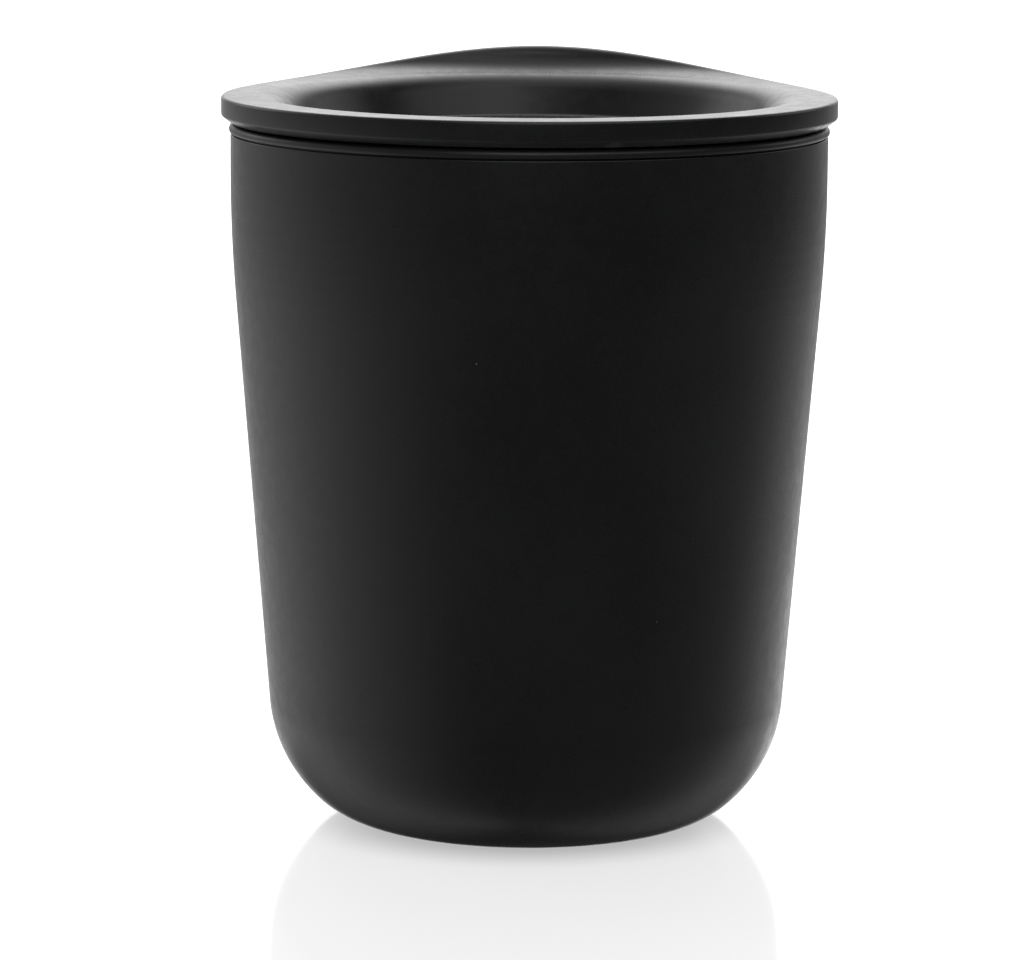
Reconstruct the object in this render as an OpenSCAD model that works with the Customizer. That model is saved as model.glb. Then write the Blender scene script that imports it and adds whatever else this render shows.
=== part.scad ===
// Double-wall coffee tumbler with a push-on drinking lid, in millimetres.
// Z is the cup's axis, the cup stands on z = 0, and the raised lip to drink from is on the +Y side.

/* [Outer shell] */
// Height of the shell's top edge, where the seam under the collar is
shell_h = 107.13; // [95:0.01:120]
// Radius of the shell's top band
shell_r = 46.07; // [45.2:0.01:50]
// Height of the upright band under the top edge
shell_band = 6; // [2:0.5:12]
// Radius of the long bend between the upright band and the tapered wall
shell_bend_r = 240; // [120:5:300]
// Taper of the wall, in degrees from upright
shell_taper = 4.64; // [3:0.01:6]
// Radius of the upper part of the round bottom edge
base_upper_r = 22.5; // [18:0.5:26]
// Radius of the lower part of the round bottom edge
base_lower_r = 14.1; // [12:0.1:16]
// Slope at which the two bottom radii meet, in degrees from upright
base_break = 47.6; // [40:0.1:55]
// Wall thickness of the shell
shell_wall = 2; // [1.5:0.1:2.5]
// Radius of the shallow recess inside the standing ring
recess_r = 19.5; // [10:0.5:20]
// Depth of that recess
recess_depth = 0.5; // [0.2:0.1:0.8]

/* [Inner liner] */
// Radius of the mouth, where the lid's plug goes in
mouth_r = 41.5; // [41:0.1:42]
// Wall thickness of the liner
liner_wall = 1.8; // [1.4:0.1:2]
// Height of the drink's floor above the table
liner_floor = 9; // [7:0.5:14]
// Depth of the upright part of the mouth, which the seal slides in
liner_band = 9.3; // [9:0.1:14]
// Taper of the liner's wall, in degrees from upright
liner_taper = 6.5; // [5.5:0.1:7]
// Radius of the liner's bottom corner
liner_corner_r = 14; // [8:0.5:16]
// Height of the open seam between the shell's edge and the collar
seam_gap = 0.28; // [0.1:0.01:0.4]
// Depth of that seam
seam_depth = 0.6; // [0.3:0.1:1]
// Height of the liner's collar, which shows above the seam
collar_h = 1.33; // [1:0.01:1.8]
// How far the collar's bead stands out past the shell
collar_flare = 0.23; // [0:0.01:0.4]
// How far round the bead turns under its widest line, in degrees
collar_turn = 30; // [10:5:50]

/* [Lid rim and bowl] */
// Clearance between the collar and the lid
lid_gap = 0.28; // [0.2:0.01:0.5]
// How far the lid stands out past the shell's top band
lid_overhang = 1.43; // [1:0.01:2.5]
// Height of the lid's rim, from its lower edge to the flat ring
rim_h = 3.96; // [3.4:0.01:4.5]
// Width of the slanted lower edge of the rim
rim_slant_w = 1.35; // [1:0.05:1.5]
// Height of that slanted edge
rim_slant_h = 1.02; // [0.8:0.02:1.4]
// Rounding of the rim's top edge
rim_edge_r = 0.5; // [0.3:0.05:0.8]
// Wall thickness of the lid's cover
cover_wall = 1.9; // [1.6:0.1:2]
// Inner radius of the flat ring around the bowl
ring_inner_r = 41.8; // [41:0.05:42]
// Depth of the bowl below the ring
bowl_depth = 6.1; // [5:0.05:6.6]
// Slope of the bowl's wall, in degrees from level
bowl_slope = 60; // [55:1:70]
// Radius of the rounded edge from the ring down into the bowl
bowl_edge_r = 5.5; // [5:0.1:6.5]
// Radius of the bowl's foot, where its wall meets the floor
bowl_foot_r = 1; // [0.5:0.1:3]

/* [Raised lip] */
// Height of the raised lip above the ring
lip_h = 4.48; // [3:0.01:5.5]
// Half of the angle that the raised lip spans, in degrees
lip_half_angle = 86; // [60:1:95]
// Power of the wave that the lip follows: above 1 it is more pointed than a plain cosine
lip_peak = 2.05; // [1:0.05:3]
// How much higher the bowl's edge is at the lip's middle than elsewhere
lip_rise = 0.6; // [0:0.05:1]
// Slope at which the lip's inner face leaves the bowl's edge there, in degrees from level
lip_foot_slope = 18; // [0:1:25]
// Radius at which the lip's inner face turns from that slope up to its crest
lip_foot_r = 43.3; // [42.6:0.1:44]
// How much further out that radius is where the lip is at its lowest
lip_foot_shift = 2; // [0:0.1:2.5]
// Rounding of the lip's crest
lip_crest_r = 1.4; // [1:0.05:1.6]
// How far the lip's outer face leans in at its highest point
lip_lean = 0.45; // [0:0.05:0.8]

/* [Sip slot and vent] */
// Radius of the line that the sip slot follows, in the floor of the bowl
slot_r = 26.5; // [18:0.1:28]
// Width of the sip slot
slot_w = 3.5; // [2.5:0.1:3.8]
// Length of the sip slot
slot_len = 15; // [10:0.5:20]
// Diameter of the air vent opposite the slot
vent_d = 2; // [1:0.1:3]
// Distance of the vent from the axis
vent_r = 24; // [16:0.5:27]

/* [Plug and seal] */
// Clearance between the plug and the mouth
plug_gap = 0.4; // [0.3:0.05:0.6]
// Depth that the plug reaches below the top of the collar
plug_depth = 8; // [7.5:0.1:9]
// Wall thickness of the plug
plug_wall = 1.7; // [1.4:0.1:1.8]
// Height of the groove that holds the seal
groove_h = 2.8; // [2.4:0.1:3]
// Depth of that groove
groove_depth = 1.6; // [1.4:0.1:1.8]
// Running clearance of the seal in its groove, on each side
seal_play = 0.1; // [0.05:0.01:0.1]
// Clearance between the seal's fins and the mouth
seal_gap = 0.2; // [0.1:0.05:0.25]

/* [Hidden] */
$fn = 96;
shell_colour = [0.06, 0.06, 0.065];
liner_colour = [0.07, 0.07, 0.075];
cover_colour = [0.05, 0.05, 0.055];
plug_colour = [0.09, 0.09, 0.095];
seal_colour = [0.14, 0.14, 0.15];
fine_edge = 0.2;      // rounding of the thin edges at the seam
mouth_edge = 0.8;     // rounding of the mouth's inner edge
arc_steps = 8;        // straight pieces in each drawn arc
edge_steps = 3;       // and in each small edge

collar_z = shell_h + seam_gap;              // lower edge of the collar
mouth_z = collar_z + collar_h;              // top of the collar, which is the top of the cup
lid_z = mouth_z + lid_gap;                  // lower edge of the lid
ring_z = lid_z + rim_h;                     // top of the flat ring
lid_r = shell_r + lid_overhang;
under_z = ring_z - cover_wall;              // underside of the ring
bowl_z = ring_z - bowl_depth;               // floor of the bowl
bowl_under_z = bowl_z - cover_wall;         // underside of the bowl, where the plug's plate touches it

// Points along a circle's arc, from angle a0 to angle a1.
function arc(centre, radius, a0, a1, steps) =
    [for (i = [0:steps]) let (a = a0 + (a1 - a0) * i / steps)
        centre + radius * [cos(a), sin(a)]];
function reversed(list) = [for (i = [len(list) - 1:-1:0]) list[i]];

// ---- Outer shell: base flat, two bottom radii, tapered wall, long bend, upright band ----

bend_centre = [shell_r - shell_bend_r, shell_h - shell_band];
wall_top = bend_centre + shell_bend_r * [cos(shell_taper), -sin(shell_taper)];
upper_shift = (base_lower_r - base_upper_r) * [cos(base_break), -sin(base_break)];
wall_foot_z = base_lower_r + upper_shift[1] - base_upper_r * sin(shell_taper);
wall_foot_r = wall_top[0] - (wall_top[1] - wall_foot_z) * tan(shell_taper);
base_flat_r = wall_foot_r - base_upper_r * cos(shell_taper) - upper_shift[0];
lower_centre = [base_flat_r, base_lower_r];
upper_centre = lower_centre + upper_shift;

// The shell's round surface from the base flat to the foot of the upright band, moved in by t.
function shell_curve(t) = concat(
    arc(lower_centre, base_lower_r - t, -90, -base_break, arc_steps),
    arc(upper_centre, base_upper_r - t, -base_break, -shell_taper, arc_steps),
    arc(bend_centre, shell_bend_r - t, -shell_taper, 0, arc_steps));

module outer_shell() {
    outside = concat(
        [[0, recess_depth], [recess_r, recess_depth], [recess_r + recess_depth, 0]],
        shell_curve(0),
        arc([shell_r - fine_edge, shell_h - fine_edge], fine_edge, 0, 90, edge_steps));
    inside = concat(
        [[0, shell_wall]], shell_curve(shell_wall), [[shell_r - shell_wall, shell_h]]);
    color(shell_colour)
        rotate_extrude() polygon(concat(outside, reversed(inside)));
}

// ---- Inner liner: the drink's wall, and the flange whose edge is the visible collar ----

band_foot_z = mouth_z - liner_band;
corner_top_z = liner_floor + liner_corner_r * (1 - sin(liner_taper));
corner_top_r = mouth_r - (band_foot_z - corner_top_z) * tan(liner_taper);
corner_centre = [corner_top_r - liner_corner_r * cos(liner_taper), liner_floor + liner_corner_r];
weld_r = shell_r - seam_depth;              // the flange rests on the shell's edge inside this radius
bead_r = collar_h / (1 + sin(collar_turn)); // the collar's bead fills its whole height

// The liner's surface from the middle of its floor to the foot of the mouth band, moved out by t.
function liner_curve(t) = concat(
    [[0, liner_floor - t]],
    arc(corner_centre, liner_corner_r + t, -90, -liner_taper, arc_steps),
    [[mouth_r + t, band_foot_z - t * tan(liner_taper / 2)]]);

module inner_liner() {
    flange = concat(
        arc([mouth_r + mouth_edge, mouth_z - mouth_edge], mouth_edge, 180, 90, edge_steps),
        arc([shell_r + collar_flare - bead_r, mouth_z - bead_r], bead_r, 90, -collar_turn, arc_steps),
        [[weld_r, collar_z], [weld_r, shell_h], [mouth_r + liner_wall, shell_h]]);
    color(liner_colour)
        rotate_extrude() polygon(concat(liner_curve(0), flange, reversed(liner_curve(liner_wall))));
}

// ---- Lid cover: rim, flat ring, bowl and raised lip, as one skin over rings of points ----

azimuths = 72;                              // points around each ring
lip_steps = 7;                              // rings up the lip's inner face
lip_core = 0.55;                            // share of the lip's height that its hollow underside follows
core_in_r = lid_r - 3;                      // hollow behind the rim: its inner and outer top corners
core_out_r = lid_r - 2.2;
core_foot_r = mouth_r - 0.1;                // where the ring's flat underside ends
bead_h = 0.33;                              // bead that welds the plug's wall to that underside
bead_w = 0.65;
land_r = lid_r - 2.6;                       // inner edge of the rim's lower face
hub_r = 12;                                 // ring of points within the bowl's flat floor

// How high the lip stands at an angle from its middle: a smooth wave, and 0 outside its span.
function lip_height(angle) = abs(angle) < lip_half_angle
    ? lip_h * pow((1 + cos(180 * angle / lip_half_angle)) / 2, lip_peak) : 0;

bowl_run = (bowl_depth - (bowl_edge_r + bowl_foot_r) * (1 - cos(bowl_slope))) / tan(bowl_slope);
foot_r = ring_inner_r - (bowl_edge_r + bowl_foot_r) * sin(bowl_slope) - bowl_run;
bowl_foot_centre = [foot_r, bowl_z + bowl_foot_r];
under_inner_r = mouth_r - plug_gap - bead_w - 0.1;  // inner edge of the ring's flat underside
under_edge_r = bowl_edge_r - cover_wall - (ring_inner_r - under_inner_r) / tan(bowl_slope / 2);

// The bowl from its floor's edge to the ring, or to the foot of a lip of that share of full height.
function bowl_curve(share) =
    let (rise = lip_rise * share * (3 - share * share) / 2,
         centre = [ring_inner_r + rise / tan(bowl_slope), ring_z - bowl_edge_r + rise])
    concat(
        arc(bowl_foot_centre, bowl_foot_r, -90, bowl_slope - 90, 3),
        arc(centre, bowl_edge_r, 90 + bowl_slope, 90 + lip_foot_slope * share, 7));

// The underside of the bowl from its floor's edge to the flat underside of the ring.
bowl_underside = concat(
    arc(bowl_foot_centre, bowl_foot_r + cover_wall, -90, bowl_slope - 90, 3),
    arc([under_inner_r, under_z - under_edge_r], under_edge_r, 90 + bowl_slope, 90, 4));

// The lip's inner face, crest and outer face where it stands h above the ring. The inner face is a
// curve that leaves the bowl's edge on its tangent and meets the crest's circle on its tangent.
function lip_curve(h) =
    let (share = h / lip_h,
         radius = rim_edge_r + (lip_crest_r - rim_edge_r) * share,
         centre = [lid_r - lip_lean * share - radius, ring_z + h - radius],
         bowl = bowl_curve(share),
         start = bowl[len(bowl) - 1],
         turn_r = lip_foot_r + lip_foot_shift * (1 - share),
         turn = start + (turn_r - start[0]) * [1, tan(lip_foot_slope * share)],
         to_crest = centre - turn,
         slope = atan2(to_crest[1], to_crest[0]) + asin(radius / norm(to_crest)),
         touch = centre + radius * [-sin(slope), cos(slope)])
    concat(
        [for (i = [1:lip_steps]) let (t = i / (lip_steps + 1))
            (1 - t) * (1 - t) * start + 2 * t * (1 - t) * turn + t * t * touch],
        arc(centre, radius, 90 + slope, 0, 5));

// The cover's section at an angle from the lip's middle, from the top of its axis to the bottom.
function cover_section(angle) = let (h = lip_height(angle)) concat(
    [[hub_r, bowl_z]],
    bowl_curve(h / lip_h),
    lip_curve(h),
    [[lid_r, ring_z - rim_edge_r - 0.3], [lid_r, lid_z + rim_slant_h],
     [lid_r - rim_slant_w, lid_z], [land_r, lid_z],
     [core_out_r, under_z + lip_core * h], [core_in_r, under_z + lip_core * h],
     [core_foot_r, under_z]],
    reversed(bowl_underside),
    [[hub_r, bowl_under_z]]);

// Rings of points between a first point and a last one, both on the axis, as one closed solid.
module ring_skin(sections, first_z, last_z) {
    n = len(sections);
    m = len(sections[0]);
    points = concat(
        [[0, 0, first_z]],
        [for (i = [0:n - 1], p = sections[i]) let (a = 90 + 360 * i / n)
            [p[0] * cos(a), p[0] * sin(a), p[1]]],
        [[0, 0, last_z]]);
    faces = [for (i = [0:n - 1]) let (a = 1 + i * m, b = 1 + (i + 1) % n * m) each concat(
        [[0, b, a]],
        [for (j = [0:m - 2]) each [[a + j, b + j, b + j + 1], [a + j, b + j + 1, a + j + 1]]],
        [[a + m - 1, b + m - 1, n * m + 1]])];
    polyhedron(points, faces);
}

// The sip slot, with round ends, along a circle about the axis on the +Y side.
module sip_slot(width, height) {
    half = (slot_len - slot_w) / 2 / slot_r * 180 / PI;
    ends = [for (s = [-1, 1]) slot_r * [cos(90 + s * half), sin(90 + s * half)]];
    linear_extrude(height) polygon(concat(
        arc([0, 0], slot_r + width / 2, 90 - half, 90 + half, arc_steps),
        arc(ends[1], width / 2, 90 + half, 270 + half, arc_steps),
        arc([0, 0], slot_r - width / 2, 90 + half, 90 - half, arc_steps),
        arc(ends[0], width / 2, -90 - half, 90 - half, arc_steps)));
}

module lid_openings(low_z, high_z, extra) {
    translate([0, 0, low_z]) {
        sip_slot(slot_w + extra, high_z - low_z);
        translate([0, -vent_r, 0]) cylinder(d = vent_d + extra, h = high_z - low_z);
    }
}

module lid_cover() {
    sections = [for (i = [0:azimuths - 1]) let (a = 360 * i / azimuths)
        cover_section(a > 180 ? a - 360 : a)];
    color(cover_colour)
        difference() {
            ring_skin(sections, bowl_z, bowl_under_z);
            lid_openings(bowl_under_z - 1, bowl_z + 1, 0);
        }
}

// ---- Lid plug: a plate under the bowl, and a wall that holds the seal's groove ----

plug_r = mouth_r - plug_gap;
plug_z = mouth_z - plug_depth;
plug_lead = 0.8;                            // slanted lower edge that guides the plug in
groove_r = plug_r - groove_depth;
groove_z = plug_z + 1.3;                    // lower side of the groove
thick_r = groove_r - plug_wall;             // inner side of the thick part behind the groove
plate_t = 1.9;                              // thickness of the plate under the bowl
plate_z = bowl_under_z - plate_t;
cavity_z = groove_z + groove_h + 1.2;       // floor of the hollow between the plug's wall and the bowl
opening_play = 0.4;                         // how much wider the openings are in the plate than in the bowl

module lid_plug() {
    section = [
        [0, bowl_under_z], [thick_r, bowl_under_z], [thick_r, cavity_z],
        [plug_r - plug_wall, cavity_z],
        [plug_r - plug_wall, under_z - bead_h], [plug_r - bead_w, under_z - bead_h],
        [plug_r - bead_w, under_z], [plug_r, under_z],
        [plug_r, groove_z + groove_h], [groove_r, groove_z + groove_h],
        [groove_r, groove_z], [plug_r, groove_z],
        [plug_r, plug_z + plug_lead], [plug_r - plug_lead, plug_z],
        [thick_r, plug_z], [thick_r, plate_z], [0, plate_z]];
    color(plug_colour)
        difference() {
            rotate_extrude() polygon(section);
            lid_openings(plate_z - 1, bowl_under_z + 1, opening_play);
        }
}

// ---- Seal: a silicone ring with two soft fins ----

fin_h = 0.35;                               // thickness of a fin at its tip
fin_root = 0.75;                            // and at its root
fin_rise = 0.3;                             // how much higher a fin's tip is than its root
fin_edge = 0.2;                             // height of the ring left above and below the fins

module lid_seal() {
    low = groove_z + seal_play;
    high = groove_z + groove_h - seal_play;
    back_r = groove_r + seal_play;
    body_r = plug_r - 0.4;
    fin_r = mouth_r - seal_gap;
    function fin(z) = [[body_r, z], [fin_r, z + fin_rise], [fin_r, z + fin_rise + fin_h],
        [body_r, z + fin_root]];
    color(seal_colour)
        rotate_extrude() polygon(concat(
            [[back_r, low]], fin(low + fin_edge), fin(high - fin_root - fin_edge), [[back_r, high]]));
}

outer_shell();
inner_liner();
lid_cover();
lid_plug();
lid_seal();
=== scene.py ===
"""A matt black double-wall coffee tumbler with a push-on drinking lid, on a pale glossy table.

Outlines are in millimetres, as (radius, height) pairs that are turned about the cup's axis, and MM
scales them to metres. Heights and radii that the CAD model fixes are read from the frame.
"""

import math

import bmesh
import bpy
from mathutils import Matrix, Vector


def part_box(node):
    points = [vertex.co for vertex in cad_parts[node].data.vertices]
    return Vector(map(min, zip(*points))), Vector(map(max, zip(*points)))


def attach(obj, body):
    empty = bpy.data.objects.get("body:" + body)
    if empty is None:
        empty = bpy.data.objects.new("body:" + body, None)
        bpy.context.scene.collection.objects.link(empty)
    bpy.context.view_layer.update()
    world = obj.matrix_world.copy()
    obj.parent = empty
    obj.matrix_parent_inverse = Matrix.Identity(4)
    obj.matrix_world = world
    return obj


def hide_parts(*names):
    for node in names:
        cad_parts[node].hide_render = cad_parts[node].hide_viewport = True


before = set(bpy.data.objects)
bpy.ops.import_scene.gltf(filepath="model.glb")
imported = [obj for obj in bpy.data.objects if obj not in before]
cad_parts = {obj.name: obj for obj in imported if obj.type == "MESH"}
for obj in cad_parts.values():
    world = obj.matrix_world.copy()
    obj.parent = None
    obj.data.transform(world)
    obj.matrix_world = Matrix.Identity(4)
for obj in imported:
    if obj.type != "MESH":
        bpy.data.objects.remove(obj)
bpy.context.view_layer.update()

MM = 0.001
TURN = 2 * math.pi
QUARTER = math.pi / 2


def low_mm(node):
    return tuple(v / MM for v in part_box(node)[0])


def high_mm(node):
    return tuple(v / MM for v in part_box(node)[1])


# ---- Sizes, in millimetres ----

SHELL_TOP = high_mm("outer_shell")[2]
SHELL_R = high_mm("outer_shell")[0]
SHELL_BAND = 6.0                     # upright band under the shell's top edge
SHELL_BEND_R = 240.0                 # long bend between that band and the tapered wall
SHELL_TAPER = math.radians(4.64)
BASE_UPPER_R, BASE_LOWER_R = 22.5, 14.1
BASE_BREAK = math.radians(47.6)
SHELL_WALL = 2.0
RECESS_R, RECESS_DEPTH = 19.5, 0.5

MOUTH_Z = high_mm("inner_liner")[2]
LINER_FLOOR = low_mm("inner_liner")[2] + 1.8
LINER_WALL = 1.8
LINER_BAND = 9.3
LINER_TAPER = math.radians(6.5)
LINER_CORNER_R = 14.0
MOUTH_R = 41.5
SEAM_GAP, SEAM_DEPTH = 0.28, 0.6
COLLAR_FLARE = 0.23
COLLAR_TURN = math.radians(30)       # how far round the collar's bead turns under its widest line

LID_Z = MOUTH_Z + 0.28
LID_R = high_mm("lid_cover")[0]
COVER_WALL = 1.9
RIM_H = 3.96
RIM_SLANT_W, RIM_SLANT_H = 1.35, 1.02
RIM_EDGE_R = 0.5
RING_Z = LID_Z + RIM_H
RING_INNER_R = 41.8
BOWL_DEPTH = 6.1
BOWL_Z = RING_Z - BOWL_DEPTH
BOWL_SLOPE = math.radians(60)
BOWL_EDGE_R, BOWL_FOOT_R = 5.5, 1.0
UNDER_Z = RING_Z - COVER_WALL
BOWL_UNDER_Z = BOWL_Z - COVER_WALL

LIP_H = 4.479                        # a hair under the CAD cover, to stay inside its box
LIP_HALF_ANGLE = math.radians(86)
LIP_PEAK = 2.05                      # above 1 the lip is more pointed than a plain wave
LIP_FOOT_R = 43.3
LIP_FOOT_SHIFT = 2.0                 # how much further out the lip's foot is where the lip is lowest
LIP_RISE = 0.6                       # how much higher the bowl's edge is at the lip's middle
LIP_FOOT_SLOPE = math.radians(18)    # how steeply the lip's face leaves the bowl's edge at its middle
LIP_CREST_R = 1.4
LIP_LEAN = 0.45
LIP_CORE = 0.55                      # share of the lip's height that its hollow underside follows
CORE_IN_R, CORE_OUT_R = LID_R - 3, LID_R - 2.2
CORE_FOOT_R = MOUTH_R - 0.1          # where the ring's flat underside ends
LAND_R = LID_R - 2.6                 # inner edge of the rim's lower face

SLOT_R, SLOT_W, SLOT_LEN = 26.5, 3.5, 15.0
VENT_R, VENT_D = 24.0, 2.0
HOLE_EDGE = 0.45                     # rounding of the openings' top edges
PLUG_PLAY = 0.4                      # how much wider the openings are in the plug

PLUG_GAP, PLUG_H = 0.4, 8
PLUG_R = MOUTH_R - PLUG_GAP
PLUG_Z = MOUTH_Z - PLUG_H
PLUG_WALL = 1.7
PLATE_T = 1.9
BEAD_H, BEAD_W = 0.33, 0.65          # bead that welds the plug's wall to the ring's underside
GROOVE_H, GROOVE_DEPTH = 2.8, 1.6
GROOVE_LAND = 1.3                    # height of the plug's wall under the groove
GROOVE_Z = PLUG_Z + GROOVE_LAND
GROOVE_R = PLUG_R - GROOVE_DEPTH
SEAL_PLAY, SEAL_GAP = 0.1, 0.2

FINE_EDGE = 0.2                      # rounding of thin moulded edges
HOLD = 0.12                          # distance of the loops that keep long faces flat beside a rounding
LATHE_STEPS, COVER_STEPS = 192, 240  # columns of vertices round a piece


# ---- Outlines ----

def arc(centre, radius, start, end, steps):
    """Points along a circle, from angle start to angle end, in radians."""
    points = []
    for i in range(steps + 1):
        a = start + (end - start) * i / steps
        points.append((centre[0] + radius * math.cos(a), centre[1] + radius * math.sin(a)))
    return points


def rounded(corners, radii, steps=4):
    """A chain of corners, each rounded to its radius. A radius of 0 leaves its corner sharp."""
    points = []
    for i, (corner, radius) in enumerate(zip(corners, radii, strict=True)):
        if not radius or i in (0, len(corners) - 1):
            points.append(corner)
            continue
        here = Vector(corner)
        back = (Vector(corners[i - 1]) - here).normalized()
        ahead = (Vector(corners[i + 1]) - here).normalized()
        half = back.angle(ahead) / 2
        centre = here + (back + ahead).normalized() * radius / math.sin(half)
        first = here + back * radius / math.tan(half) - centre
        last = here + ahead * radius / math.tan(half) - centre
        turn = first.angle_signed(last)
        for k in range(steps + 1):
            spoke = first.copy()
            spoke.rotate(Matrix.Rotation(-turn * k / steps, 2))
            points.append(tuple(centre + spoke))
    return points


def held(points, long_side=1.2):
    """The same chain with a loop near both ends of each long side, so that smooth shading stays true."""
    out = [points[0]]
    for a, b in zip(points, points[1:], strict=False):
        start, end = Vector(a), Vector(b)
        side = end - start
        if side.length > long_side:
            step = side.normalized() * HOLD
            out += [tuple(start + step), tuple(end - step)]
        out.append(b)
    return out


BEND_CENTRE = (SHELL_R - SHELL_BEND_R, SHELL_TOP - SHELL_BAND)
WALL_TOP = (
    BEND_CENTRE[0] + SHELL_BEND_R * math.cos(SHELL_TAPER),
    BEND_CENTRE[1] - SHELL_BEND_R * math.sin(SHELL_TAPER),
)
UPPER_SHIFT = (
    (BASE_LOWER_R - BASE_UPPER_R) * math.cos(BASE_BREAK),
    (BASE_UPPER_R - BASE_LOWER_R) * math.sin(BASE_BREAK),
)
WALL_FOOT_Z = BASE_LOWER_R + UPPER_SHIFT[1] - BASE_UPPER_R * math.sin(SHELL_TAPER)
WALL_FOOT_R = WALL_TOP[0] - (WALL_TOP[1] - WALL_FOOT_Z) * math.tan(SHELL_TAPER)
BASE_FLAT_R = WALL_FOOT_R - BASE_UPPER_R * math.cos(SHELL_TAPER) - UPPER_SHIFT[0]
LOWER_CENTRE = (BASE_FLAT_R, BASE_LOWER_R)
UPPER_CENTRE = (BASE_FLAT_R + UPPER_SHIFT[0], BASE_LOWER_R + UPPER_SHIFT[1])


def shell_curve(inset):
    """The shell's round surface from the base flat to the upright band, moved in by inset."""
    upright = 0
    lower = arc(LOWER_CENTRE, BASE_LOWER_R - inset, -QUARTER, -BASE_BREAK, 14)
    upper = arc(UPPER_CENTRE, BASE_UPPER_R - inset, -BASE_BREAK, -SHELL_TAPER, 16)
    bend = arc(BEND_CENTRE, SHELL_BEND_R - inset, -SHELL_TAPER, upright, 8)
    return lower + upper[1:] + bend


def shell_outline():
    gate_r, gate_h, gate_edge = 1.6, 0.2, 0.08
    recess_edge, foot_edge = 0.4, 0.3
    gate = rounded(
        [(0, RECESS_DEPTH - gate_h), (gate_r, RECESS_DEPTH - gate_h), (gate_r, RECESS_DEPTH),
         (RECESS_R, RECESS_DEPTH), (RECESS_R + RECESS_DEPTH, 0), (BASE_FLAT_R, 0)],
        [0, gate_edge, gate_edge, recess_edge, foot_edge, 0],
    )
    top = arc((SHELL_R - FINE_EDGE, SHELL_TOP - FINE_EDGE), FINE_EDGE, 0, QUARTER, 5)
    inside = [(SHELL_R - SHELL_WALL, SHELL_TOP)] + shell_curve(SHELL_WALL)[::-1]
    return held(gate[:-1] + shell_curve(0) + top) + inside + [(0, SHELL_WALL)]


BAND_FOOT_Z = MOUTH_Z - LINER_BAND
CORNER_TOP_Z = LINER_FLOOR + LINER_CORNER_R * (1 - math.sin(LINER_TAPER))
CORNER_TOP_R = MOUTH_R - (BAND_FOOT_Z - CORNER_TOP_Z) * math.tan(LINER_TAPER)
CORNER_CENTRE = (CORNER_TOP_R - LINER_CORNER_R * math.cos(LINER_TAPER), LINER_FLOOR + LINER_CORNER_R)


def liner_curve(outset):
    """The liner's surface from its floor's edge to the foot of the mouth band, moved out."""
    corner = arc(CORNER_CENTRE, LINER_CORNER_R + outset, -QUARTER, -LINER_TAPER, 18)
    return corner + [(MOUTH_R + outset, BAND_FOOT_Z - outset * math.tan(LINER_TAPER / 2))]


def liner_outline():
    gate_r, gate_h, gate_slope = 1.5, 0.15, 0.3
    mouth_edge, collar_edge = 0.8, 0.08
    gate = rounded(
        [(0, LINER_FLOOR - gate_h), (gate_r, LINER_FLOOR - gate_h), (gate_r + gate_slope, LINER_FLOOR),
         (CORNER_CENTRE[0], LINER_FLOOR)],
        [0, 0.1, 0.3, 0],
    )
    collar_z = SHELL_TOP + SEAM_GAP
    mouth = arc((MOUTH_R + mouth_edge, MOUTH_Z - mouth_edge), mouth_edge, math.pi, QUARTER, 7)
    bead_r = (MOUTH_Z - collar_z) / (1 + math.sin(COLLAR_TURN))
    bead = arc((SHELL_R + COLLAR_FLARE - bead_r, MOUTH_Z - bead_r), bead_r, QUARTER, -COLLAR_TURN, 14)
    edge = rounded([bead[-2], bead[-1], (SHELL_R - SEAM_DEPTH, collar_z)], [0, collar_edge, 0], 3)
    collar = bead[:-2] + edge
    weld = [(SHELL_R - SEAM_DEPTH, SHELL_TOP), (MOUTH_R + LINER_WALL, SHELL_TOP)]
    inside = gate[:-1] + liner_curve(0) + mouth[:-1] + collar
    return held(inside) + weld + liner_curve(LINER_WALL)[::-1] + [(0, LINER_FLOOR - LINER_WALL)]


def lip_height(angle):
    """How high the raised lip stands at an angle from its middle: one smooth wave."""
    if abs(angle) >= LIP_HALF_ANGLE:
        return 0.0
    wave = (1 + math.cos(math.pi * angle / LIP_HALF_ANGLE)) / 2
    return LIP_H * wave**LIP_PEAK


BOWL_RUN = (BOWL_DEPTH - (BOWL_EDGE_R + BOWL_FOOT_R) * (1 - math.cos(BOWL_SLOPE))) / math.tan(BOWL_SLOPE)
BOWL_FLOOR_R = RING_INNER_R - (BOWL_EDGE_R + BOWL_FOOT_R) * math.sin(BOWL_SLOPE) - BOWL_RUN
UNDER_INNER_R = PLUG_R - BEAD_W - 0.1  # inner edge of the ring's flat underside
UNDER_EDGE_R = BOWL_EDGE_R - COVER_WALL - (RING_INNER_R - UNDER_INNER_R) / math.tan(BOWL_SLOPE / 2)


def bowl_curve(share):
    """The bowl from its floor's edge to the ring, or to the foot of a lip of that share of full height."""
    foot = arc((BOWL_FLOOR_R, BOWL_Z + BOWL_FOOT_R), BOWL_FOOT_R, -QUARTER, BOWL_SLOPE - QUARTER, 7)
    rise = LIP_RISE * share * (3 - share**2) / 2
    centre = (RING_INNER_R + rise / math.tan(BOWL_SLOPE), RING_Z - BOWL_EDGE_R + rise)
    return foot + arc(centre, BOWL_EDGE_R, QUARTER + BOWL_SLOPE, QUARTER + LIP_FOOT_SLOPE * share, 14)


def bowl_underside():
    """The underside of the bowl from its floor's edge to the flat underside of the ring."""
    foot_centre = (BOWL_FLOOR_R, BOWL_Z + BOWL_FOOT_R)
    foot = arc(foot_centre, BOWL_FOOT_R + COVER_WALL, -QUARTER, BOWL_SLOPE - QUARTER, 5)
    centre = (UNDER_INNER_R, UNDER_Z - UNDER_EDGE_R)
    return foot + arc(centre, UNDER_EDGE_R, QUARTER + BOWL_SLOPE, QUARTER, 6)


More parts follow.
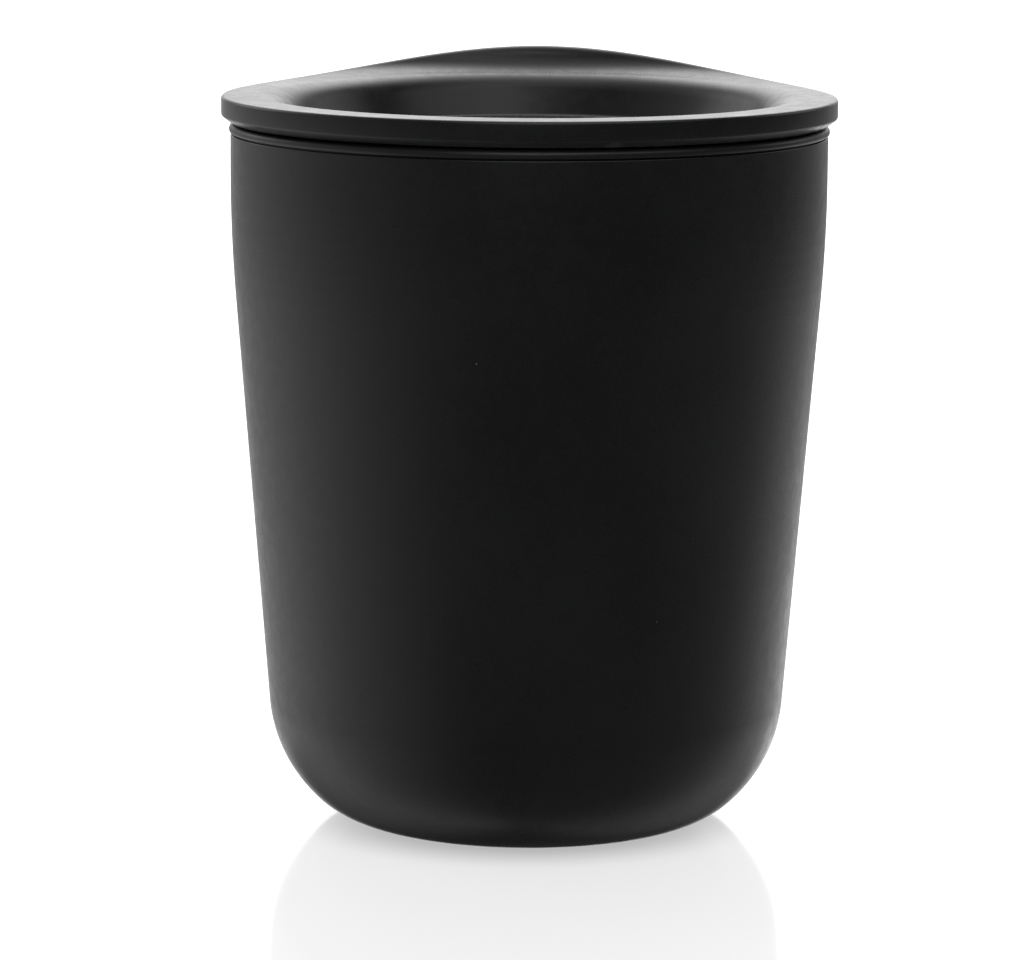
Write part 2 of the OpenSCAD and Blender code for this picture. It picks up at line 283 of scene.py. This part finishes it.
def lip_curve(height, face_steps=16, crest_steps=10):
    """The lip's inner face, crest and outer edge where it stands height above the ring."""
    share = height / LIP_H
    foot_slope = LIP_FOOT_SLOPE * share
    radius = RIM_EDGE_R + (LIP_CREST_R - RIM_EDGE_R) * share
    centre = Vector((LID_R - LIP_LEAN * share - radius, RING_Z + height - radius))
    start = Vector(bowl_curve(share)[-1])
    foot_r = LIP_FOOT_R + LIP_FOOT_SHIFT * (1 - share)
    foot = start + (foot_r - start.x) * Vector((1, math.tan(foot_slope)))
    to_crest = centre - foot
    slope = math.atan2(to_crest.y, to_crest.x) + math.asin(radius / to_crest.length)
    touch = centre + radius * Vector((-math.sin(slope), math.cos(slope)))
    face = []
    for i in range(1, face_steps):
        t = i / face_steps
        face.append(tuple((1 - t) ** 2 * start + 2 * t * (1 - t) * foot + t * t * touch))
    return face + arc(tuple(centre), radius, QUARTER + slope, 0, crest_steps)


def cover_section(angle):
    """The cover's section at an angle from the lip's middle, from the bowl's floor round to its underside."""
    height = lip_height(angle)
    core_top = UNDER_Z + LIP_CORE * height
    face_top = RING_Z - 1.2
    slant_edge, land_edge = 0.45, 0.25
    lip = lip_curve(height)
    rim = rounded(
        [lip[-1], (LID_R, face_top), (LID_R, LID_Z + RIM_SLANT_H),
         (LID_R - RIM_SLANT_W, LID_Z), (LAND_R, LID_Z), (CORE_OUT_R, core_top),
         (CORE_IN_R, core_top), (CORE_FOOT_R, UNDER_Z), bowl_underside()[-1]],
        [0, 0, slant_edge, land_edge, 0, 0, 0, 0, 0],
    )
    start = (BOWL_FLOOR_R - HOLD, BOWL_Z)
    end = (BOWL_FLOOR_R - HOLD, BOWL_UNDER_Z)
    under = bowl_underside()[::-1]
    return [start] + bowl_curve(height / LIP_H) + lip + rim[1:-1] + under + [end]


def cover_sections():
    """The cover's sections all the way round, counted from the lip's middle."""
    angles = [TURN * i / COVER_STEPS for i in range(COVER_STEPS)]
    return [cover_section(angle - TURN if angle > math.pi else angle) for angle in angles]


def plug_outline():
    inner_r, thick_r = PLUG_R - PLUG_WALL, GROOVE_R - PLUG_WALL
    lead, cavity_z = 0.8, GROOVE_Z + GROOVE_H + 1.2
    plate_z = BOWL_UNDER_Z - PLATE_T
    corners = [
        (thick_r, BOWL_UNDER_Z), (thick_r, cavity_z), (inner_r, cavity_z),
        (inner_r, UNDER_Z - BEAD_H), (PLUG_R - BEAD_W, UNDER_Z - BEAD_H), (PLUG_R - BEAD_W, UNDER_Z),
        (PLUG_R, UNDER_Z), (PLUG_R, GROOVE_Z + GROOVE_H),
        (GROOVE_R, GROOVE_Z + GROOVE_H), (GROOVE_R, GROOVE_Z), (PLUG_R, GROOVE_Z),
        (PLUG_R, PLUG_Z + lead), (PLUG_R - lead, PLUG_Z), (thick_r, PLUG_Z),
        (thick_r, plate_z),
    ]
    radii = [0, 0.2, 0.2, 0.15, 0, 0, 0.1, 0.15, 0.12, 0.12, 0.15, 0.4, 0.3, 0.3, 0.4]
    floor_r = 30.0
    corners = [(floor_r, BOWL_UNDER_Z)] + corners + [(floor_r, plate_z)]
    return held(rounded(corners, [0] + radii + [0]))


def seal_outline():
    low, high = GROOVE_Z + SEAL_PLAY, GROOVE_Z + GROOVE_H - SEAL_PLAY
    body_inset, fin_edge = 0.4, 0.2
    back_r, body_r, fin_r = GROOVE_R + SEAL_PLAY, PLUG_R - body_inset, MOUTH_R - SEAL_GAP
    tip_h, root_h, rise = 0.35, 0.75, 0.3
    edge, foot_edge, tip_edge = 0.1, 0.05, 0.14
    corners = [(back_r, low), (body_r, low)]
    radii = [edge, edge]
    for z in (low + fin_edge, high - root_h - fin_edge):
        corners += [(body_r, z), (fin_r, z + rise), (fin_r, z + rise + tip_h), (body_r, z + root_h)]
        radii += [foot_edge, tip_edge, tip_edge, edge]
    corners += [(body_r, high), (back_r, high)]
    radii += [edge, edge]
    middle = (back_r, (low + high) / 2)
    return rounded([middle] + corners + [middle], [0] + radii + [0])[:-1]


# ---- Meshes ----

def finished(bm, name, sharp_degrees=35):
    """Turns a bmesh into an object with smooth shading and sharp creases."""
    same_place = 1e-7
    bmesh.ops.remove_doubles(bm, verts=bm.verts, dist=same_place)
    bmesh.ops.recalc_face_normals(bm, faces=bm.faces)
    mesh = bpy.data.meshes.new(name)
    bm.to_mesh(mesh)
    bm.free()
    mesh.shade_smooth()
    mesh.set_sharp_from_angle(angle=math.radians(sharp_degrees))
    piece = bpy.data.objects.new(name, mesh)
    bpy.context.scene.collection.objects.link(piece)
    return piece


def ring_of(bm, section, angle):
    """The vertices of one section at an angle about the axis, counted from +Y towards -X."""
    side, ahead = -math.sin(angle), math.cos(angle)
    return [bm.verts.new((r * side * MM, r * ahead * MM, z * MM)) for r, z in section]


def skin(bm, columns, closed_section=False):
    """Joins neighbouring columns of vertices, all the way round."""
    for a, b in zip(columns, columns[1:] + columns[:1], strict=True):
        pairs = list(zip(a, b, strict=True))
        if closed_section:
            pairs.append(pairs[0])
        for (p, q), (s, t) in zip(pairs, pairs[1:], strict=False):
            bm.faces.new((p, q, t, s))


def lathe(name, outline, closed_section=False):
    """A solid of revolution. An open outline starts and ends on the axis."""
    bm = bmesh.new()
    section = outline if closed_section else outline[1:-1]
    columns = [ring_of(bm, section, TURN * i / LATHE_STEPS) for i in range(LATHE_STEPS)]
    skin(bm, columns, closed_section)
    if closed_section:
        return finished(bm, name)
    for level, (_, z) in ((0, outline[0]), (-1, outline[-1])):
        middle = bm.verts.new((0, 0, z * MM))
        loop = [column[level] for column in columns]
        for a, b in zip(loop, loop[1:] + loop[:1], strict=True):
            bm.faces.new((middle, a, b))
    return finished(bm, name)


def slot_loop(width, end_steps=10, side_steps=24):
    """The sip slot's outline for a width, with round ends, along a circle about the axis on the +Y side."""
    half = (SLOT_LEN - SLOT_W) / 2 / SLOT_R
    start, end = QUARTER - half, QUARTER + half
    right_end = (SLOT_R * math.cos(start), SLOT_R * math.sin(start))
    left_end = (SLOT_R * math.cos(end), SLOT_R * math.sin(end))
    outer = arc((0, 0), SLOT_R + width / 2, start, end, side_steps)
    inner = arc((0, 0), SLOT_R - width / 2, end, start, side_steps)
    left = arc(left_end, width / 2, end, end + math.pi, end_steps)
    right = arc(right_end, width / 2, start - math.pi, start, end_steps)
    return outer + left[1:-1] + inner + right[1:-1]


def vent_loop(width, steps=32):
    return arc((0, -VENT_R), width / 2, 0, TURN, steps)[:-1]


def hole(bm, loop, width, top_z, bottom_z):
    """The wall of an opening, with rounded edges. Returns its top and bottom loops of vertices."""
    top_edge = arc((HOLE_EDGE, top_z - HOLE_EDGE), HOLE_EDGE, QUARTER, 2 * QUARTER, 5)
    foot_edge = arc((FINE_EDGE, bottom_z + FINE_EDGE), FINE_EDGE, 2 * QUARTER, 3 * QUARTER, 3)
    rings = []
    for spread, z in top_edge + foot_edge:
        rings.append([bm.verts.new((x * MM, y * MM, z * MM)) for x, y in loop(width + 2 * spread)])
    for upper, lower in zip(rings, rings[1:], strict=False):
        for i, corner in enumerate(upper):
            nxt = (i + 1) % len(upper)
            bm.faces.new((corner, upper[nxt], lower[nxt], lower[i]))
    return rings[0], rings[-1]


def fill_flat(bm, loops):
    """Fills the flat area between an outer loop and the loops of its openings."""
    edges = []
    for loop in loops:
        for a, b in zip(loop, loop[1:] + loop[:1], strict=True):
            edges.append(bm.edges.get((a, b)) or bm.edges.new((a, b)))
    bmesh.ops.triangle_fill(bm, edges=edges, use_beauty=True)


def holed(name, sections, extra):
    """A lid part: sections turned about the axis, with flat middles that the slot and the vent go through."""
    bm = bmesh.new()
    steps = len(sections)
    columns = [ring_of(bm, s, TURN * i / steps) for i, s in enumerate(sections)]
    skin(bm, columns)
    top_z, bottom_z = sections[0][0][1], sections[0][-1][1]
    slot = hole(bm, slot_loop, SLOT_W + extra, top_z, bottom_z)
    vent = hole(bm, vent_loop, VENT_D + extra, top_z, bottom_z)
    for level, side in ((0, 0), (-1, 1)):
        fill_flat(bm, [[column[level] for column in columns], slot[side], vent[side]])
    return finished(bm, name)


# ---- Materials ----

def shade(tree, kind, **inputs):
    """Adds a shader node and sets its inputs. An input can be a number, a colour or another node's output."""
    node = tree.nodes.new(kind)
    for name, value in inputs.items():
        socket = node.inputs[name.replace("_", " ")]
        if isinstance(value, bpy.types.NodeSocket):
            tree.links.new(value, socket)
        else:
            socket.default_value = value
    return node


def maths(tree, operation, a, b=0.0, clamp=False):
    node = tree.nodes.new("ShaderNodeMath")
    node.operation = operation
    node.use_clamp = clamp
    for socket, value in zip(node.inputs, (a, b), strict=False):
        if isinstance(value, bpy.types.NodeSocket):
            tree.links.new(value, socket)
        else:
            socket.default_value = value
    return node.outputs[0]


def ramp(tree, value, low, high, out_low=0.0, out_high=1.0):
    node = shade(tree, "ShaderNodeMapRange", Value=value)
    node.interpolation_type = "SMOOTHSTEP"
    for name, number in (("From Min", low), ("From Max", high), ("To Min", out_low), ("To Max", out_high)):
        node.inputs[name].default_value = number
    return node.outputs["Result"]


def blended(tree, factor, a, b):
    node = tree.nodes.new("ShaderNodeMix")
    node.data_type = "RGBA"
    tree.links.new(factor, node.inputs["Factor"])
    for socket, value in ((node.inputs[6], a), (node.inputs[7], b)):
        if isinstance(value, bpy.types.NodeSocket):
            tree.links.new(value, socket)
        else:
            socket.default_value = value
    return node.outputs[2]


def grey(value, tint=0.0):
    """A grey, a little cool where tint is above 0."""
    return (value * (1 - tint), value, value * (1 + tint), 1)


def noise(tree, where, size_mm, detail=2.0, rough=0.5):
    """Noise from 0 to 1, with features of a size in millimetres."""
    made = shade(tree, "ShaderNodeTexNoise", Vector=where, Scale=1 / (size_mm * MM))
    made.inputs["Detail"].default_value = detail
    made.inputs["Roughness"].default_value = rough
    return made.outputs["Fac"]


def with_rubbed_edges(tree, where, colour, gloss, tone, wear):
    """Edges that handling has made lighter and glossier, in patches."""
    patch_mm, lighter, glossier = 1.6, 2.4, 0.08
    edge = ramp(tree, tree.nodes.new("ShaderNodeNewGeometry").outputs["Pointiness"], 0.53, 0.62)
    patches = ramp(tree, noise(tree, where, patch_mm), 0.35, 0.65, 0.35, 1.0)
    worn = maths(tree, "MULTIPLY", maths(tree, "MULTIPLY", edge, patches), wear)
    colour = blended(tree, worn, colour, grey(tone * lighter, 0.03))
    gloss = maths(tree, "SUBTRACT", gloss, maths(tree, "MULTIPLY", worn, glossier))
    return colour, gloss


def with_dust(tree, where, colour, gloss, share):
    """A pale, matt speck in that share of small cells."""
    cell_mm, speck_tone, duller = 1.9, 0.16, 0.3
    cells = shade(tree, "ShaderNodeTexVoronoi", Vector=where, Scale=1 / (cell_mm * MM))
    near = ramp(tree, cells.outputs["Distance"], 0.035, 0.075, 1.0, 0.0)
    parts = shade(tree, "ShaderNodeSeparateColor", Color=cells.outputs["Color"])
    rare = ramp(tree, parts.outputs[0], 1 - share, 1 - share + 0.002)
    speck = maths(tree, "MULTIPLY", near, rare, clamp=True)
    colour = blended(tree, speck, colour, grey(speck_tone))
    gloss = maths(tree, "ADD", gloss, maths(tree, "MULTIPLY", speck, duller), clamp=True)
    return colour, gloss


def relief(tree, fine, mottle, grain):
    """The grain, and a very slight waviness as on any moulding, as a normal."""
    waviness = maths(tree, "MULTIPLY", mottle, grain * 1.5)
    height = maths(tree, "ADD", maths(tree, "MULTIPLY", fine, grain), waviness)
    return shade(tree, "ShaderNodeBump", Height=height, Strength=1.0, Distance=MM).outputs["Normal"]


def moulded(name, tone, roughness, grain, grain_mm=0.28, dust=0.0, wear=0.0, specular=0.5):
    """Moulded plastic or rubber: fine grain, drifting tone, uneven gloss, rubbed edges, specks of dust."""
    material = bpy.data.materials.new(name)
    material.use_nodes = True
    tree = material.node_tree
    shader = tree.nodes["Principled BSDF"]
    shader.inputs["Specular IOR Level"].default_value = specular
    where = tree.nodes.new("ShaderNodeTexCoord").outputs["Object"]
    fine = noise(tree, where, grain_mm, 3.0, 0.6)
    mottle = noise(tree, where, 2.2, 3.0)
    drift = noise(tree, where, 26.0)

    colour = blended(tree, ramp(tree, drift, 0.3, 0.7), grey(tone * 0.9, 0.02), grey(tone * 1.1, 0.03))
    gloss = maths(tree, "ADD", ramp(tree, mottle, 0.3, 0.7, -0.03, 0.03), roughness)
    gloss = maths(tree, "ADD", gloss, ramp(tree, drift, 0.3, 0.7, -0.015, 0.015))
    if wear:
        colour, gloss = with_rubbed_edges(tree, where, colour, gloss, tone, wear)
    if dust:
        colour, gloss = with_dust(tree, where, colour, gloss, dust)
    tree.links.new(colour, shader.inputs["Base Color"])
    tree.links.new(gloss, shader.inputs["Roughness"])
    tree.links.new(relief(tree, fine, mottle, grain), shader.inputs["Normal"])
    return material


# ---- The pieces ----

def place(piece, body, node, material):
    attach(piece, body)
    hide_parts(node)
    piece.data.materials.append(material)


BLACK = 0.0102
cup_plastic = moulded("cup_plastic", BLACK, 0.28, 0.004, dust=0.012, wear=0.8)
liner_plastic = moulded("liner_plastic", BLACK * 1.05, 0.34, 0.003, dust=0.004, wear=0.8)
lid_plastic = moulded("lid_plastic", BLACK, 0.26, 0.0045, dust=0.008, wear=0.8)
plug_plastic = moulded("plug_plastic", BLACK * 1.15, 0.4, 0.004, wear=0.6)
silicone = moulded("silicone", 0.035, 0.55, 0.002, grain_mm=0.15, dust=0.03, specular=0.35)

place(lathe("tumbler_shell", shell_outline()), "cup", "outer_shell", cup_plastic)
place(lathe("tumbler_liner", liner_outline()), "cup", "inner_liner", liner_plastic)
place(holed("drinking_lid_cover", cover_sections(), 0), "lid", "lid_cover", lid_plastic)
place(holed("drinking_lid_plug", [plug_outline()] * LATHE_STEPS, PLUG_PLAY), "lid", "lid_plug",
      plug_plastic)
place(lathe("lid_seal_ring", seal_outline(), closed_section=True), "seal", "lid_seal",
      silicone)


# ---- Table ----

def table_material():
    """White acrylic that glows as if lit from below, so that it shows no shadow but a painted one round the
    cup's foot, where it glows less.
    """
    material = bpy.data.materials.new("white_acrylic")
    material.use_nodes = True
    tree = material.node_tree
    shader = tree.nodes["Principled BSDF"]
    shader.inputs["Base Color"].default_value = grey(0.5)
    shader.inputs["Roughness"].default_value = 0.08
    shader.inputs["Specular IOR Level"].default_value = 0.3
    shader.inputs["Emission Color"].default_value = grey(1.0)
    where = tree.nodes.new("ShaderNodeTexCoord").outputs["Object"]
    reach = tree.nodes.new("ShaderNodeVectorMath")
    reach.operation = "LENGTH"
    tree.links.new(where, reach.inputs[0])
    # Painted shadow round the cup's foot: the glow falls from 0.7 to 0.45 inside these radii about the axis.
    painted_shadow_r, painted_shadow_end_r = 24 * MM, 40 * MM
    glow_with_painted_shadow = ramp(tree, reach.outputs["Value"], painted_shadow_r, painted_shadow_end_r, 0.45, 0.7)
    tree.links.new(glow_with_painted_shadow, shader.inputs["Emission Strength"])
    return material


def table(radius=2.5, segments=96):
    bm = bmesh.new()
    bmesh.ops.create_circle(bm, cap_ends=True, radius=radius, segments=segments)
    floor = finished(bm, "table_top")
    floor.data.materials.append(table_material())
    floor.visible_glossy = False


table()


# ---- Camera ----

# Metres from the cup's axis and above the table, then radians, then millimetres.
CAMERA_DISTANCE, CAMERA_HEIGHT = 0.7592, 0.1738
CAMERA_AZIMUTH = math.radians(2.35)
CAMERA_PITCH, CAMERA_ROLL = 0.1579, 0.0060
CAMERA_YAW = 0.003106
SENSOR_MM, LENS_MM = 36.0, 173.18


def camera():
    data = bpy.data.cameras.new("camera")
    data.sensor_width = SENSOR_MM
    data.lens = LENS_MM
    data.clip_start, data.clip_end = 0.01, 20
    eye = bpy.data.objects.new("camera", data)
    turn = Matrix.Rotation(CAMERA_AZIMUTH, 4, "Z")
    stand = Matrix.Translation((0, -CAMERA_DISTANCE, CAMERA_HEIGHT))
    aim = (
        Matrix.Rotation(CAMERA_YAW, 4, "Z")
        @ Matrix.Rotation(QUARTER - CAMERA_PITCH, 4, "X")
        @ Matrix.Rotation(CAMERA_ROLL, 4, "Z")
    )
    eye.matrix_world = turn @ stand @ aim
    bpy.context.scene.collection.objects.link(eye)
    bpy.context.scene.camera = eye


camera()


# ---- Light ----

def fade(tree, value, stops):
    """A smooth curve through (position, brightness) stops, with value from 0 to 1."""
    node = tree.nodes.new("ShaderNodeValToRGB")
    node.color_ramp.interpolation = "B_SPLINE"
    while len(node.color_ramp.elements) < len(stops):
        node.color_ramp.elements.new(0.5)
    peak = max(brightness for _, brightness in stops)
    for element, (position, brightness) in zip(node.color_ramp.elements, stops, strict=True):
        element.position = position
        element.color = grey(brightness / peak)
    tree.links.new(value, node.inputs["Fac"])
    return maths(tree, "MULTIPLY", node.outputs["Color"], peak)


def mixed(tree, factor, a, b):
    """a where the factor is 0 and b where it is 1."""
    node = tree.nodes.new("ShaderNodeMix")
    for socket, value in zip((node.inputs[0], node.inputs[2], node.inputs[3]), (factor, a, b), strict=True):
        if isinstance(value, bpy.types.NodeSocket):
            tree.links.new(value, socket)
        else:
            socket.default_value = value
    return node.outputs[0]


def panel(tree, direction, azimuth, elevation, spread, brightness):
    """A soft round light in the sky. Azimuth 0 is over the camera and 90 is on the right."""
    a, e = math.radians(azimuth), math.radians(elevation)
    centre = (math.sin(a) * math.cos(e), -math.cos(a) * math.cos(e), math.sin(e))
    node = tree.nodes.new("ShaderNodeVectorMath")
    node.operation = "DOT_PRODUCT"
    tree.links.new(direction, node.inputs[0])
    node.inputs[1].default_value = centre
    near, far = math.cos(math.radians(spread * 0.3)), math.cos(math.radians(spread))
    return ramp(tree, node.outputs["Value"], far, near, 0, brightness)


# Brightness by direction. LEFT and RIGHT go round the sides at table height, from behind the cup (0) to
# the camera (1). OVER goes over the top, from the horizon behind the cup (0) to the one behind the camera.
LEFT = ((0.0, 1.0), (0.08, 0.75), (0.16, 0.42), (0.33, 0.56), (0.46, 0.5), (0.6, 0.3), (0.75, 0.12),
        (0.88, 0.02), (1.0, 0.01))
RIGHT = ((0.0, 1.0), (0.10, 1.02), (0.18, 0.57), (0.27, 0.46), (0.35, 0.24), (0.44, 0.13), (0.6, 0.03),
         (0.8, 0.01), (1.0, 0.01))
OVER = ((0.0, 1.35), (0.08, 1.5), (0.16, 2.3), (0.24, 3.4), (0.32, 2.4), (0.42, 1.1), (0.5, 0.8),
        (0.58, 0.75), (0.64, 0.3), (0.69, 0.0), (0.75, 1.5), (0.82, 1.7), (0.9, 0.3), (1.0, 0.02))

# Factors on the sides: between two values of the direction's z, the factor goes from the third number to
# the fourth. FOOT_SHADE does so by the turn from behind the cup, and ends above FOOT_SHADE_Z.
LEFT_BY_HEIGHT = (-0.34, -0.06, 1.6, 0.8)
RIGHT_BY_HEIGHT = (-0.37, -0.09, 2.0, 0.4)
DOWNWARD = (-1.0, -0.3, 0.45, 1.0)
FOOT_SHADE = (0.05, 0.42, 0.03, 1.0)
FOOT_SHADE_Z = (-0.45, -0.27)
SIDE_BLEND, TOP_BLEND, LEVEL_BLEND = (-0.15, 0.15), (0.05, 0.5), (-0.04, 0.06)

# Soft panels: azimuth, elevation and spread in degrees, and brightness.
KEY = (47, 50, 34, 0.72)
SIDE_PANELS = ((125, 25, 24, 0.5), (-128, 25, 24, 0.7))
BACKDROP = 1.05                      # what the camera sees behind the table


def beside(tree, x, y, z):
    """The brightness round the sides and below them, with the shade of the cup's foot on the table."""
    around = maths(tree, "ABSOLUTE", maths(tree, "ARCTAN2", x, y))
    around = maths(tree, "DIVIDE", around, math.pi)
    left = maths(tree, "MULTIPLY", fade(tree, around, LEFT), ramp(tree, z, *LEFT_BY_HEIGHT))
    right = maths(tree, "MULTIPLY", fade(tree, around, RIGHT), ramp(tree, z, *RIGHT_BY_HEIGHT))
    sides = mixed(tree, ramp(tree, x, *SIDE_BLEND), left, right)
    sides = maths(tree, "MULTIPLY", sides, ramp(tree, z, *DOWNWARD))
    shade_here = mixed(tree, ramp(tree, z, *FOOT_SHADE_Z), ramp(tree, around, *FOOT_SHADE), 1.0)
    return maths(tree, "MULTIPLY", sides, shade_here)


def overhead(tree, direction, x, y, z, sides):
    """The brightness above, which runs into the sides' on the left and the right, and the soft panels."""
    over = maths(tree, "DIVIDE", maths(tree, "ARCTAN2", z, y), math.pi)
    top = mixed(tree, ramp(tree, maths(tree, "ABSOLUTE", x), *TOP_BLEND), fade(tree, over, OVER), sides)
    for light in (KEY, *SIDE_PANELS):
        top = maths(tree, "ADD", top, panel(tree, direction, *light))
    return top


def sky():
    """White all round for the camera. For light and reflections: a bright back, soft sides, a dim front."""
    world = bpy.data.worlds.new("studio")
    bpy.context.scene.world = world
    world.use_nodes = True
    tree = world.node_tree
    tree.nodes.clear()
    direction = tree.nodes.new("ShaderNodeTexCoord").outputs["Generated"]
    x, y, z = shade(tree, "ShaderNodeSeparateXYZ", Vector=direction).outputs
    sides = beside(tree, x, y, z)
    top = overhead(tree, direction, x, y, z, sides)
    all_round = mixed(tree, ramp(tree, z, *LEVEL_BLEND), sides, top)
    light = shade(tree, "ShaderNodeBackground", Color=all_round, Strength=1.0)
    seen = shade(tree, "ShaderNodeBackground", Color=grey(1.0), Strength=BACKDROP)
    mix = tree.nodes.new("ShaderNodeMixShader")
    tree.links.new(tree.nodes.new("ShaderNodeLightPath").outputs["Is Camera Ray"], mix.inputs["Fac"])
    tree.links.new(light.outputs[0], mix.inputs[1])
    tree.links.new(seen.outputs[0], mix.inputs[2])
    output = tree.nodes.new("ShaderNodeOutputWorld")
    tree.links.new(mix.outputs[0], output.inputs["Surface"])


sky()

scene = bpy.context.scene
scene.view_settings.view_transform = "Standard"
scene.view_settings.look = "None"
scene.view_settings.exposure = 0.0
scene.view_settings.gamma = 1.0
